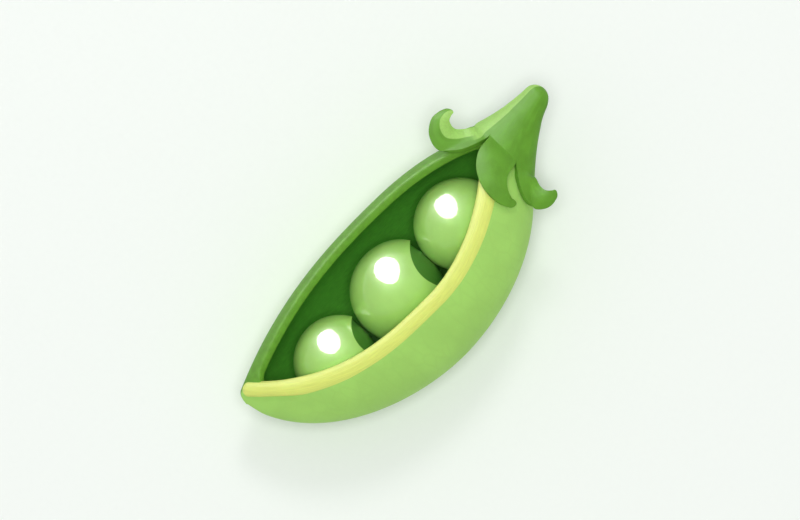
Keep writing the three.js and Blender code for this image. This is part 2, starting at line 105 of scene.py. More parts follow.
# How gently a sepal comes to lie on the pod, and the share of its length by which it fully does.
LIFT_SOFTNESS, REST_FROM = 0.3, 0.15

# Each sepal springs from its share of the rim, in degrees from +Y over the top, and its outer face looks
# the way it is facing. Each stop gives its two edges, seen from above, and the level between them. The
# last stop is the tip.
SEPALS = [
    {
        "name": "rear",
        "span": (-20, 56),
        "facing": (0, 0.35, 0.94),
        "stops": [
            ((38.35, 7.4), (38.15, 5.55), 11.2), ((37.65, 7.85), (36.7, 6.05), 11.3),
            ((37.15, 8.4), (35.4, 6.85), 11.45), ((37.02, 8.85), (34.22, 8.3), 11.6),
            ((37.09, 9.32), (34.63, 9.98), 11.75), ((37.34, 9.8), (35.8, 10.98), 11.9),
            ((37.8, 9.98), (36.88, 11.16), 12.0), ((38.17, 10.0), (37.87, 10.92), 12.05),
            ((38.35, 10.0), (38.32, 10.42), 12.1),
        ],
    },
    {
        "name": "top",
        "span": (56, 112),
        "facing": (0, 0, 1),
        "stops": [
            ((38.1, 5.2), (38.4, 1.2), 12.9), ((36.95, 4.9), (37.75, 1.12), 13.45),
            ((35.75, 3.95), (37.1, 0.75), 13.85), ((34.9, 2.6), (36.55, 0.15), 14.05),
            ((34.6, 1.0), (36.22, -0.5), 14.0), ((34.72, -0.55), (36.1, -0.95), 13.85),
            ((35.2, -1.65), (36.1, -1.2), 13.6), ((35.75, -2.15), (36.35, -1.65), 13.3),
        ],
    },
    {
        "name": "front",
        "span": (112, 190),
        "facing": (-0.1, -0.4, 0.9),
        "stops": [
            ((38.35, 0.4), (39.3, -1.5), 11.2), ((37.65, -0.7), (39.26, -1.95), 11.4),
            ((37.15, -1.8), (39.22, -2.38), 11.5), ((36.98, -2.8), (39.25, -2.77), 11.55),
            ((37.25, -3.72), (39.34, -3.11), 11.6), ((38.03, -4.38), (39.55, -3.38), 11.65),
            ((38.88, -4.62), (39.85, -3.62), 11.7), ((39.6, -4.55), (40.05, -3.72), 11.8),
            ((40.0, -4.38), (40.3, -3.78), 11.9),
        ],
    },
    {
        "name": "under_front",
        "span": (190, 265),
        "facing": (0, -0.7, -0.7),
        "stops": [
            ((38.2, -0.85), (38.2, 1.25), 5.3), ((37.2, -1.3), (37.2, 0.5), 4.4),
            ((36.55, -1.85), (36.65, -0.35), 3.7), ((36.55, -2.3), (36.7, -1.15), 3.1),
            ((37.1, -2.4), (37.3, -1.8), 2.8),
        ],
    },
    {
        "name": "under_rear",
        "span": (265, 340),
        "facing": (0, 0.5, -0.85),
        "stops": [
            ((38.2, 4.2), (38.2, 6.8), 5.2), ((37.2, 5.1), (37.2, 7.3), 4.5),
            ((36.65, 5.9), (36.75, 7.7), 3.8), ((36.7, 6.5), (36.9, 7.85), 3.2),
            ((37.3, 6.95), (37.5, 7.65), 2.9),
        ],
    },
]

STEM_TO, STEM_ROUND_FROM = 47.15, 45.75
BLUNTING = 0.0004  # a rounded end keeps this share's square root of its width, so no ring is a point

# Linear colours.
LIGHT_GREEN = (0.333, 0.604, 0.130)
MID_GREEN = (0.126, 0.325, 0.030)
DARK_GREEN = (0.033, 0.141, 0.013)
STRAND_YELLOW, STRAND_BLOTCH = (0.716, 0.799, 0.178), (0.60, 0.78, 0.16)
SCAR_TAN = (0.52, 0.60, 0.22)
STALK_DARK, STALK_LIGHT = (0.42, 0.62, 0.16), (0.56, 0.72, 0.26)
FLOOR_COLOUR = (0.88, 0.92, 0.88)


# ---------------------------------------------------------------- small helpers


def lerp(a, b, share):
    return a + (b - a) * share


def smoothstep(x, low, high):
    t = np.clip((np.asarray(x, float) - low) / (high - low), 0, 1)
    return t * t * (3 - 2 * t)


def unit(v):
    """Vectors of length 1. The tiny number keeps a zero vector from dividing by zero."""
    return v / np.maximum(np.linalg.norm(v, axis=-1, keepdims=True), 1e-9)


def crowded(count):
    """Places between 0 and 1 that crowd towards both ends."""
    return (1 - np.cos(np.pi * np.linspace(0, 1, count))) / 2


def arch(x, peak, powers):
    """1 at the peak and 0 at both ends, falling off by its own power on each side."""
    away = np.where(x < peak, (peak - x) / peak, (x - peak) / (POD_TO - peak))
    return 1 - np.clip(away, 0, 1) ** np.where(x < peak, powers[0], powers[1])


# ---------------------------------------------------------------- the pod's outer shape


LEAST_RADIUS = 0.02  # keeps the oval open at the pod's very ends
LEAST_INNER_RADIUS = 0.05  # the same inside the wall


def along(x):
    return np.clip((x - POD_FROM) / (POD_TO - POD_FROM), 0, 1)


def chord(x):
    return [lerp(a, b, along(x)) for a, b in zip(BLOSSOM_END, STEM_END)]


def from_middle(x):
    return np.abs(2 * along(x) - 1)


def fullness(x, power):
    return np.sqrt(np.maximum(0, 1 - from_middle(x) ** power))


def rounded_at_nose(x, y):
    share = np.clip((x - POD_FROM) / NOSE_LENGTH, 0, 1)
    return lerp(NOSE_Y, y, np.sqrt(1 - (1 - share) ** 2))


def front_y(x):
    full = fullness(x, np.where(along(x) < 0.5, *FRONT_POWERS))
    full = full * (1 + NOSE_FILL * np.exp((POD_FROM - x) / NOSE_FILL_LENGTH))
    return rounded_at_nose(x, chord(x)[0] - FRONT_BULGE * full)


def rear_y(x):
    end = np.where(x < REAR_PEAK_X, BLOSSOM_END[0], STEM_END[0])
    return rounded_at_nose(x, lerp(end, REAR_PEAK_Y, arch(x, REAR_PEAK_X, REAR_POWERS)))


def keel_z(x):
    return chord(x)[1] - BELLY_DEPTH * fullness(x, BELLY_POWER)


def crown_z(x):
    return chord(x)[1] + CROWN_HEIGHT * (1 - from_middle(x) ** CROWN_POWER)


def waist_z(x):
    return chord(x)[1] - WAIST_SAG * (1 - from_middle(x) ** 2)


TABLE_LEVEL = float(keel_z(np.linspace(0, POD_TO, 400)).min()) + FLAT_CUT
POD_LOW, POD_HIGH = (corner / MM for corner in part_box("pod_wall"))
# The solid's first ring, the peak of its rear valve and its flat belly say where the pod lies.
ORIGIN = np.array([POD_LOW.x - POD_FROM - SOLID_END_INSET, POD_HIGH.y - REAR_PEAK_Y, -TABLE_LEVEL])


def to_frame(points):
    """From millimetres beside the blossom end to metres in the frame."""
    return (np.asarray(points, float) + ORIGIN) * MM


def section(x):
    """Middle y, widest level z, half-width, height above and depth below of the oval at x."""
    front, rear, waist = front_y(x), rear_y(x), waist_z(x)
    return (front + rear) / 2, waist, (rear - front) / 2, crown_z(x) - waist, waist - keel_z(x)


def skin_point(x, angle, grow=0.0):
    """A point on the oval: angle 0 points to the rear valve and a quarter turn points up."""
    x, angle, grow = np.broadcast_arrays(x, angle, grow)
    y0, z0, half, above, below = section(x)
    height = np.where(np.sin(angle) > 0, above, below)
    y = y0 + np.maximum(half + grow, LEAST_RADIUS) * np.cos(angle)
    z = z0 + np.maximum(height + grow, LEAST_RADIUS) * np.sin(angle)
    return np.stack([x, y, z], -1)


def front_lip_angle(x):
    end = np.where(x < FRONT_LIP_X, FRONT_LIP_START_Y, FRONT_LIP_END_Y)
    y = lerp(end, FRONT_LIP_LOW_Y, arch(x, FRONT_LIP_X, FRONT_LIP_POWERS))
    y0, _, half, _, _ = section(x)
    return np.arccos(np.clip((y - y0) / np.maximum(half, LEAST_RADIUS), -1, 1))


def seam_angle(x):
    """The front lip's angle, which stays as it is from the strand's start to the nose."""
    return front_lip_angle(np.maximum(x, STRAND_FROM))


def openness(x):
    """1 along the opening and 0 at the closed ends."""
    opened = smoothstep(x, OPENING_FROM, OPENING_FROM + OPENING_TAPER)
    return opened * (1 - smoothstep(x, OPENING_TO - OPENING_TAPER, OPENING_TO))


def wide_rear_angle(x):
    half, width = section(x)[2], lerp(*REAR_LIP_WIDTHS, from_middle(x) ** 2)
    return np.arccos(np.clip((half - width) / np.maximum(half - WALL, LEAST_INNER_RADIUS), -1, 1))


def rear_lip_angle(x):
    slit = lerp(CLOSED_SLIT, SEAM_SLIT, smoothstep(x, 0, OPENING_FROM))
    return lerp(seam_angle(x) - slit, wide_rear_angle(x), openness(x))


# ---------------------------------------------------------------- mesh making


MERGE_DISTANCE = 2e-7  # in metres


def make_object(name, vertices, faces, attributes=()):
    """A mesh with named values on its points. Its faces turn the same way, outwards where it is closed."""
    mesh = bpy.data.meshes.new(name)
    mesh.from_pydata(to_frame(vertices).tolist(), [], faces)
    for key, values in dict(attributes).items():
        values = np.asarray(values, np.float32)
        if values.ndim == 1:
            mesh.attributes.new(key, "FLOAT", "POINT").data.foreach_set("value", values)
        else:
            mesh.attributes.new(key, "FLOAT_VECTOR", "POINT").data.foreach_set("vector", values.ravel())
    mesh.validate()
    work = bmesh.new()
    work.from_mesh(mesh)
    bmesh.ops.remove_doubles(work, verts=work.verts, dist=MERGE_DISTANCE)
    bmesh.ops.recalc_face_normals(work, faces=work.faces)
    work.to_mesh(mesh)
    work.free()
    mesh.shade_smooth()
    thing = bpy.data.objects.new(name, mesh)
    bpy.context.scene.collection.objects.link(thing)
    return thing


def make_tube(name, rings, attributes=()):
    """A closed mesh through rings of equally many points, capped by a fan at each end.

    The attributes give a value for each point of each ring, and the middle of a fan gets their mean.
    """
    count, size = rings.shape[:2]
    first, last = count * size, count * size + 1
    faces = []
    for k in range(size):
        after = (k + 1) % size
        for r in range(count - 1):
            a, b = r * size + k, r * size + after
            faces.append((a, b, b + size, a + size))
        faces.append((after, k, first))
        faces.append(((count - 1) * size + k, (count - 1) * size + after, last))
    vertices = np.concatenate([rings.reshape(-1, 3), rings[[0, -1]].mean(1)])
    marks = {}
    for key, values in dict(attributes).items():
        flat = values.reshape(count * size, -1)
        flat = np.concatenate([flat, values[[0, -1]].reshape(2, size, -1).mean(1)])
        marks[key] = flat[:, 0] if flat.shape[1] == 1 else flat
    return make_object(name, vertices, faces, marks)


# ---------------------------------------------------------------- pod wall

POD_STATIONS, OUTER_STEPS, INNER_STEPS, LIP_STEPS = 260, 110, 84, 11
SKIN_END_INSET = 0.001  # from the pod's very ends to the first and the last ring
LIP_BULGE = 0.42  # how far a lip's rounded edge stands out past the wall's end
LEAST_BULGE_SHARE, LEAST_BULGE_RADIUS = 0.02, 0.5  # at the closed ends, where the lips meet
LIP_SQUARENESS = 0.75  # the power of a lip's round: 1 is an ellipse, and less is squarer
LIP_SHADE_FROM = -0.12  # the angle on the rear valve from which its edge has the lip's painted shade
LIP_SHADE_BLEND = 0.1
LIP_SHADE_OVER = (WALL + 0.1, WALL + 0.3)  # how far from the wall's outer end a lip's painted shade fades
LINING_FROM = (0.2, 0.8)  # where the lining's colour starts behind the nose
LEAST_ROOM = 1e-4  # keeps the cavity's ends open
ANGLE_STEP = 0.01  # in radians, to tell which way the skin runs
SKIN_PER_RADIAN, SKIN_FOR_INSIDE = 8, 20  # the pattern's run round the pod and its step to the lining


def lip_cap(outer, inner, way, bulge):
    """The rounded edge between the wall's outer and inner ends, from the outer one to the inner one."""
    middle, half = (outer + inner) / 2, (outer - inner) / 2
    turn = np.pi * np.arange(1, LIP_STEPS + 1) / (LIP_STEPS + 1)
    swing = np.sign(np.cos(turn)) * np.abs(np.cos(turn)) ** LIP_SQUARENESS
    rise = np.sin(turn) ** LIP_SQUARENESS
    return (
        middle[:, None]
        + half[:, None] * swing[None, :, None]
        + (way * bulge[:, None])[:, None] * rise[None, :, None]
    )


def inside_point(x, angle):
    """A point on the wall's inner face, which closes like a bowl at both ends of the cavity."""
    y0, z0 = section(x)[:2]
    ends = np.minimum(x - CAVITY_FROM, CAVITY_TO - x) / CAVITY_TAPER
    room = np.sqrt(np.clip(1 - (1 - np.clip(ends, 0, 1)) ** 2, LEAST_ROOM, 1))
    points = skin_point(x, angle, -WALL)
    points[..., 1] = lerp(y0, points[..., 1], room)
    points[..., 2] = lerp(z0, points[..., 2], room)
    return points


def way_round(x, angle):
    """Which way the skin runs round the pod."""
    return unit(skin_point(x, angle + ANGLE_STEP) - skin_point(x, angle - ANGLE_STEP))


def beside(cap, edge):
    """1 on the part of a lip's rounded edge beside the wall's outer end, where the lip gets its painted
    shade, 0 beyond it.
    """
    return 1 - smoothstep(np.linalg.norm(cap - edge[:, None], axis=-1), *LIP_SHADE_OVER)


def build_pod():
    x = lerp(POD_FROM + SKIN_END_INSET, POD_TO - SKIN_END_INSET, crowded(POD_STATIONS))
    inner_x = np.clip(x, CAVITY_FROM, CAVITY_TO)
    bulge = LIP_BULGE * np.maximum(openness(x), LEAST_BULGE_SHARE)
    back = bulge / np.maximum(section(x)[2], LEAST_BULGE_RADIUS)
    rear, front = rear_lip_angle(x) - back, seam_angle(x) + back
    rear_in, front_in = rear_lip_angle(inner_x) - back, seam_angle(inner_x) + back
    outer_steps, inner_steps = np.linspace(0, 1, OUTER_STEPS)[None], np.linspace(0, 1, INNER_STEPS)[None]
    outer_angle = lerp(rear[:, None], front[:, None] - 2 * np.pi, outer_steps)
    inner_angle = lerp(front_in[:, None] - 2 * np.pi, rear_in[:, None], inner_steps)
    outer = skin_point(x[:, None], outer_angle)
    inner = inside_point(inner_x[:, None], inner_angle)
    front_cap = lip_cap(outer[:, -1], inner[:, 0], -way_round(x, front), bulge)
    rear_cap = lip_cap(outer[:, 0], inner[:, -1], way_round(x, rear), bulge)[:, ::-1]
    loop = np.concatenate([outer, front_cap, inner, rear_cap], 1)
    loop[..., 2] = np.maximum(loop[..., 2], TABLE_LEVEL)

    # Painted shade: the rear valve's top edge and both lips' rounded edges are marked for a darker mid-green,
    # as the rims lie in shade.
    shade_starts, shade_full = LIP_SHADE_FROM - LIP_SHADE_BLEND, LIP_SHADE_FROM + LIP_SHADE_BLEND
    rear_edge_shade = smoothstep(outer_angle, shade_starts, shade_full)
    lip_shades = [rear_edge_shade, beside(front_cap, outer[:, -1]), 0 * inner_angle, beside(rear_cap, outer[:, 0])]
    linings = [0 * outer_angle, 1 - lip_shades[1], 1 + 0 * inner_angle, 1 - lip_shades[3]]
    front_turn, rear_turn = (np.repeat(a[:, None], LIP_STEPS, 1) for a in (front, rear))
    turns = [outer_angle, front_turn, inner_angle, rear_turn]
    lip_shade_mask, inside_part, turn = (np.concatenate(v, 1) for v in (lip_shades, linings, turns))
    inside_part = inside_part * smoothstep(x, *LINING_FROM)[:, None]
    skin = np.stack([loop[..., 0], SKIN_PER_RADIAN * turn, SKIN_FOR_INSIDE * inside_part], -1)
    return make_tube("pod", loop, {"lip": lip_shade_mask, "inside": inside_part, "skin": skin})


# ---------------------------------------------------------------- strand on the front lip

STRAND_STATIONS, STRAND_RING = 300, 48
FIBRES, FIBRE_RELIEF = 11, 0.018
FIBRE_WAVES, FIBRE_START = 0.35, 1.0  # the relief comes and goes along the strand, in radians a millimetre
FIBRE_GRAIN = 0.9  # the fibre pattern's run round the strand


def strand_axis(x):
    _, _, half, above, below = section(x)
    angle = front_lip_angle(x) + STRAND_FORWARD / half * smoothstep(x, *STRAND_TIP_TO)
    height = np.where(np.sin(angle) > 0, above, below)
    outward = unit(np.stack([0 * x, np.cos(angle) * height, np.sin(angle) * half], -1))
    proud = lerp(STRAND_TIP_PROUD, STRAND_PROUD, smoothstep(x, *STRAND_TIP))
    return skin_point(x, angle) + outward * (proud - STRAND_HALF_THICKNESS)[..., None], outward


def build_strand():
    x = lerp(STRAND_FROM, STRAND_TO, crowded(STRAND_STATIONS))
    centre, outward = strand_axis(x)
    forward = unit(np.gradient(centre, axis=0))
    side = unit(np.cross(forward, outward))
    up = unit(np.cross(side, forward))
    ends = np.clip(np.minimum(x - STRAND_FROM, STRAND_TO - x) / STRAND_TAPER, 0, 1)
    full = np.sqrt(np.clip(1 - (1 - ends) ** 2, BLUNTING, 1))
    at_tip, in_middle, at_stem = STRAND_HALF_WIDTHS
    half_width = lerp(at_tip, in_middle, smoothstep(x, *STRAND_TIP_TO))
    half_width = lerp(half_width, at_stem, smoothstep(x, *STRAND_WIDENS))
    turn = 2 * np.pi * np.arange(STRAND_RING) / STRAND_RING
    swell = np.sin(FIBRE_WAVES * x + FIBRE_START)[:, None] ** 2
    relief = 1 + FIBRE_RELIEF * np.cos(FIBRES * turn)[None] * swell
    wide = (half_width * full)[:, None] * relief * np.cos(turn)[None]
    tall = STRAND_HALF_THICKNESS * full[:, None] * relief * np.sin(turn)[None]
    rings = centre[:, None] + side[:, None] * wide[..., None] + up[:, None] * tall[..., None]
    grain = np.stack(np.broadcast_arrays(x[:, None], turn[None] * FIBRE_GRAIN, 0 * x[:, None]), -1)
    return make_tube("seed_strand", rings, {"skin": grain})


# ---------------------------------------------------------------- peas and their stalks

PEA_ORDER = ["pea_blossom_end", "pea_middle", "pea_stem_end"]
PEA_GAP = 0.05  # between two peas that touch
RIM_SOFTNESS = 0.05  # how gently a pea's round turns into its dish
PEA_SUBDIVISIONS, DISHED_SUBDIVISIONS = 6, 7
PEA_SHRINK, PEA_WOBBLE = 0.012, 0.008  # the skin's slight unevenness, about a level inside the radius
# The unevenness is a sum of three waves: its share, the way it runs, and its shift from pea to pea.
WOBBLES = [(1, (3.1, 4.7, 2.3), 1), (1, (-5.3, 2.9, 4.1), 2), (0.6, (6.7, -7.1, 5.9), 3)]
SCAR_RADIUS, SCAR_DEPTH = 0.55, 0.10  # where the stalk joins the pea
LEAST_FLAT = 1e-6  # keeps a way straight up or down from dividing by zero
STALK_LEAN, STALK_INWARDS, STALK_SINK = 1.2, 0.5, 0.2
STALK_STEPS, STALK_RING = 24, 20
STALK_RADIUS, STALK_TOP_SWELL, STALK_TOP_SHARE, STALK_FOOT_SWELL = 0.3, 0.06, 0.16, 0.26


def pea_facts():
    """Each pea's centre and radius, from the CAD solids. A dish cuts a solid short on its +X side only."""
    facts = []
    for node in PEA_ORDER:
        low, high = (np.array(corner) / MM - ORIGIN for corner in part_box(node))
        radius = (high[1] - low[1]) / 2
        centre = (low + high) / 2
        centre[0] = low[0] + radius
        facts.append((centre, radius))
    return facts


PEAS = pea_facts()


def soft_min(a, b, softness):
    h = np.clip(0.5 + 0.5 * (b - a) / softness, 0, 1)
    return lerp(b, a, h) - softness * h * (1 - h)


def stalk_ends(index):
    """From the strand's axis down to the top of the pea below it."""
    centre, radius = PEAS[index]
    top = strand_axis(np.array(centre[0] + STALK_LEAN))[0]
    foot = top + np.array([0, -STALK_INWARDS, 0]) - centre
    foot[2] = math.sqrt(radius**2 - foot[0] ** 2 - foot[1] ** 2)
    return top, centre + unit(foot) * (radius - STALK_SINK)


def dish_reach(ways, index):
    """How deep each way from the pea's centre lies in its dish, and how far it goes before it meets it."""
    (x, y), dish_radius = DISHES[index]
    centre, radius = PEAS[index]
    aside = np.array([x, y]) - centre[:2]
    depth = dish_radius - np.linalg.norm(ways[:, :2] * radius - aside, axis=1)
    flat = np.maximum(np.linalg.norm(ways[:, :2], axis=1), LEAST_FLAT)
    nearest = ways[:, :2] @ aside / flat
    room = dish_radius**2 - (aside @ aside - nearest**2)
    wall = (nearest - np.sqrt(np.maximum(room, 0))) / flat
    wall = np.where((nearest > 0) & (room > 0), wall, radius)
    return depth, radius - DISH_DEPTH * np.maximum(radius - wall, 0)


def neighbour_reach(ways, index, other):
    """How far each way from the pea's centre goes before it meets the other pea."""
    centre, radius = PEAS[index]
    apart = PEAS[other][0] - centre
    size = PEAS[other][1] + PEA_GAP
    nearest = ways @ apart
    room = size**2 - (apart @ apart - nearest**2)
    hit = (room > 0) & (nearest > 0)
    return np.where(hit, nearest - np.sqrt(np.maximum(room, 0)), 2 * radius)


def build_pea(index):
    centre, radius = PEAS[index]
    work = bmesh.new()
    subdivisions = DISHED_SUBDIVISIONS if DISHES[index] else PEA_SUBDIVISIONS
    bmesh.ops.create_icosphere(work, subdivisions=subdivisions, radius=1)
    ways = unit(np.array([v.co for v in work.verts]))
    faces = [tuple(v.index for v in f.verts) for f in work.faces]
    work.free()
    reach = np.full(len(ways), float(radius))
    # The depth into the dish also marks where the pea gets its painted shade.
    dish_shade = np.full(len(ways), -1.0)
    if DISHES[index]:
        dish_shade, floor = dish_reach(ways, index)
        reach = np.minimum(soft_min(reach, floor, RIM_SOFTNESS), neighbour_reach(ways, index, index + 1))
    wobble = sum(share * np.sin(ways @ np.array(way) + shift * index) for share, way, shift in WOBBLES)
    reach = reach - PEA_SHRINK + PEA_WOBBLE * wobble
    scar_way = unit(stalk_ends(index)[1] - centre)
    off = np.arccos(np.clip(ways @ scar_way, -1, 1)) * radius
    scar = np.exp(-((off / SCAR_RADIUS) ** 2))
    reach = reach - SCAR_DEPTH * scar
    vertices = centre + ways * reach[:, None]
    name = PEA_ORDER[index].replace("pea_", "pea_seed_")
    return make_object(name, vertices, faces, {"scar": scar, "dish_shade": dish_shade})


def build_stalk(index):
    top, bottom = stalk_ends(index)
    share = np.linspace(0, 1, STALK_STEPS)[:, None]
    route = lerp(top, bottom, share)
    forward = unit(np.gradient(route, axis=0))
    side = unit(np.cross(np.array([1.0, 0, 0]), forward))
    across = np.cross(forward, side)
    at_top = np.exp(-((share / STALK_TOP_SHARE) ** 2))
    radius = STALK_RADIUS + STALK_TOP_SWELL * at_top + STALK_FOOT_SWELL * share**3
    turn = 2 * np.pi * np.arange(STALK_RING) / STALK_RING
    rings = (
        route[:, None]
        + side[:, None] * (radius * np.cos(turn))[..., None]
        + across[:, None] * (radius * np.sin(turn))[..., None]
    )
    return make_tube(PEA_ORDER[index].replace("pea_", "seed_stalk_"), rings)


# ---------------------------------------------------------------- calyx

COLUMNS, CUP_ROWS, SEPAL_ROWS = 20, 22, 56
ROOT_REACH = 1.0  # how far, at most, a sepal's root carries on the way the cup's wall runs
CUP_SLANT = 1.08  # how much thicker the slanting cup is measured square to the stem
# The stem starts inside the cup and the cup ends inside the stem. Their skins cross where both start
# to dip.
NECK_DIP = 0.06
CUP_START, CUP_DIPS_FROM = 44.5, 43.25
STEM_START, STEM_DIPS_FROM = 42.2, 43.4
PAINTED_LIGHT_MIDDLE, PAINTED_LIGHT_EDGE = 16, (26, 34)  # the painted highlight strip, in degrees from +Y over the top
# Across the rear sepal, the edge of its half with painted highlight. Along it, the share where the painted
# highlight strip has become that.
LIT_HALF_EDGE, LIT_HALF_BLEND = (-0.15, 0.05), 0.3
GRAIN_RADIUS = 3  # of the round on which the fibres' pattern closes


def flare_point(x, angle, inset=0.0):
    """The outside of the cup and the stem, shrunk by inset."""
    share = np.clip((FLARE_FROM - x) / (FLARE_FROM - FLARE_RIM), 0, 1)
    wide, far = share**FLARE_RADIUS_POWER, share**FLARE_AXIS_POWER
    y, z = (
        lerp(STEM_AXIS[i], RIM_AXIS[i], far) + (lerp(STEM_RADIUS, RIM_RADII[i], wide) - inset) * turned
        for i, turned in enumerate((np.cos(angle), np.sin(angle)))
    )
    return np.stack(np.broadcast_arrays(x + 0 * angle, y, z), -1)


def cup_point(x, angle):
    """The middle of the cup's wall. Its end dips below the stem's skin."""
    dip = NECK_DIP * smoothstep(x, CUP_DIPS_FROM, CUP_START)
    return flare_point(x, angle, CUP_THICKNESS / 2 * CUP_SLANT + dip)


def through(stops, at):
    """A smooth curve through the stops, at places counted in stops."""
    padded = np.concatenate([2 * stops[:1] - stops[1:2], stops, 2 * stops[-1:] - stops[-2:-1]])
    i = np.clip(np.floor(at).astype(int), 0, len(stops) - 2)
    t = (at - i).reshape(-1, *[1] * (stops.ndim - 1))
    p0, p1, p2, p3 = (padded[i + k] for k in range(4))
    bend = (2 * p0 - 5 * p1 + 4 * p2 - p3) * t**2 + (3 * p1 - p0 - 3 * p2 + p3) * t**3
    return 0.5 * (2 * p1 + (p2 - p0) * t + bend)


def rest_on_pod(points, way, share):
    """Moves a sepal's points up (way 1) or down (way -1) to lie on the pod's skin, by their share."""
    x, y, z = np.moveaxis(points, -1, 0)
    y0, z0, half, above, below = section(x)
    height = (above if way > 0 else below) + SEPAL_ROOM
    arched = np.sqrt(np.clip(1 - ((y - y0) / (half + SEPAL_ROOM)) ** 2, 0, 1))
    short = height * arched - way * (z - z0)
    lift = (short + np.sqrt(short**2 + LIFT_SOFTNESS**2)) / 2
    return np.stack([x, y, z + way * lift * share * (arched > 0)], -1)


def sepal_sheet(sepal):
    """The sector of the cup and its sepal, as points by rows and columns.

    Each row also gets its reach, from 0 at the rim to 1 at the tip, and its share of the thickness, and
    each column its place across, from -1 to 1, and its angle on the rim.
    """
    low, high = (math.radians(a) for a in sepal["span"])
    slant = np.pi / 2 * np.linspace(-1, 1, COLUMNS + 1)
    across = np.sin(slant)
    angle = lerp(low, high, (across + 1) / 2)
    cup = cup_point(np.linspace(CUP_START, FLARE_RIM, CUP_ROWS)[:, None], angle[None])
    facing = np.array(sepal["facing"], float)
    stops = []
    for edge, other_edge, level in sepal["stops"]:
        edges = np.array([edge, other_edge])
        half = np.append(edges[1] - edges[0], 0) / 2
        half[2] = -(facing @ half) / facing[2]
        lift = SEPAL_CUPPING * np.linalg.norm(half) * (1 - across**2)
        middle = np.append(edges.mean(0), level)
        stops.append(middle + half * across[:, None] + facing * lift[:, None])
    root = cup[-1]
    first_step = np.minimum(np.linalg.norm(stops[0] - root, axis=1, keepdims=True), ROOT_REACH)
    # The curve leaves the root the way the cup's wall runs there.
    behind = stops[0] - 2 * unit(root - cup[-2]) * first_step
    reach = np.arange(1, SEPAL_ROWS + 1) / SEPAL_ROWS
    # The rows bend into an arc towards the tip, by up to one stop at the sheet's edges.
    place, rounding = reach * len(stops), smoothstep(reach, 1 - TIP_ROUNDING / len(stops), 1)
    places = 1 + place[:, None] - rounding[:, None] * (1 - np.cos(slant))
    control = np.array([behind, root, *stops])
    blade = np.stack([through(control[:, c], places[:, c]) for c in range(COLUMNS + 1)], 1)
    blade = rest_on_pod(blade, np.sign(facing[2]), smoothstep(reach, 0, REST_FROM)[:, None])
    reach = np.append(np.zeros(CUP_ROWS), reach)
    thin = np.append(np.ones(CUP_ROWS), lerp(1, TIP_THINNESS, rounding))
    return np.concatenate([cup, blade]), reach, thin, across, angle


def painted_light_flank(degrees):
    """1 on the painted highlight strip along the rear flank of the cup and the stem, 0 elsewhere."""
    return 1 - smoothstep(np.abs((degrees - PAINTED_LIGHT_MIDDLE + 180) % 360 - 180), *PAINTED_LIGHT_EDGE)


def grain_round(angle, run):
    """Where the fibres' pattern is taken from: it runs lengthwise, and closes round the stem and cup."""
    across, up = GRAIN_RADIUS * np.cos(angle), GRAIN_RADIUS * np.sin(angle)
    return np.stack(np.broadcast_arrays(across, up, run), -1)


def build_calyx():
    points, faces, thick, marks, grain = [], [], [], [], []
    first = 0
    for sepal in SEPALS:
        sheet, reach, thin, across, angle = sepal_sheet(sepal)
        rows, columns = sheet.shape[:2]
        # Painted highlight: a lighter green strip along the rear flank and over half of the rear sepal, where
        # light falls.
        edge = 1 - smoothstep(across, *LIT_HALF_EDGE) if sepal["name"] == "rear" else 0 * across
        painted_light = lerp(painted_light_flank(np.degrees(angle))[None], edge[None], smoothstep(reach, 0, LIT_HALF_BLEND)[:, None])
        thickness = lerp(CUP_THICKNESS, SEPAL_THICKNESS, smoothstep(reach, 0, SEPAL_ROOTS_END)) * thin
        middle = sheet[:, COLUMNS // 2]
        run = np.cumsum(np.linalg.norm(np.diff(middle, axis=0, prepend=middle[:1]), axis=1))
        points.append(sheet.reshape(-1, 3))
        thick.append(np.repeat(thickness, columns))
        marks.append(painted_light.ravel())
        grain.append(grain_round(angle[None], run[:, None]).reshape(-1, 3))
        for r in range(rows - 1):
            for a in range(first + r * columns, first + (r + 1) * columns - 1):
                faces.append((a, a + 1, a + columns + 1, a + columns))
        first += rows * columns
    points, thick, marks, grain = (np.concatenate(v) for v in (points, thick, marks, grain))
    attributes = {"painted_light": marks, "skin": grain, "thick": thick}
    return thicken(make_object("calyx_cup_and_sepals", points, faces, attributes))


def thicken(sheet):
    """Gives an open sheet its thickness, from its own attribute, and rounds its edges."""
    work = bmesh.new()
    work.from_mesh(sheet.data)
    work.normal_update()
    thick = work.verts.layers.float["thick"]
    base = list(work.verts)
    rims = [(e.verts[0], e.verts[1]) for e in work.edges if e.is_boundary]
    copy = bmesh.ops.duplicate(work, geom=base + list(work.edges) + list(work.faces))
    twin = copy["vert_map"]
    shift = {v: v.normal * v[thick] * MM * 0.5 for v in base}
    for v in base:
        twin[v].co = v.co - shift[v]
        v.co = v.co + shift[v]
    for a, b in rims:
        work.faces.new((a, b, twin[b], twin[a]))
    bmesh.ops.recalc_face_normals(work, faces=work.faces)
    work.to_mesh(sheet.data)
    work.free()
    sheet.data.shade_smooth()
    rounding = sheet.modifiers.new("rounding", "SUBSURF")
    rounding.levels = rounding.render_levels = 1
    return sheet


# ---------------------------------------------------------------- stem

STEM_STATIONS, STEM_RING = 110, 96
STEM_RIBS, STEM_RIB_RELIEF, STEM_RIB_TURN = 7, 0.018, 0.4
STEM_RIBS_RISE = (NECK_X, 45)  # the ribs rise out of the smooth neck


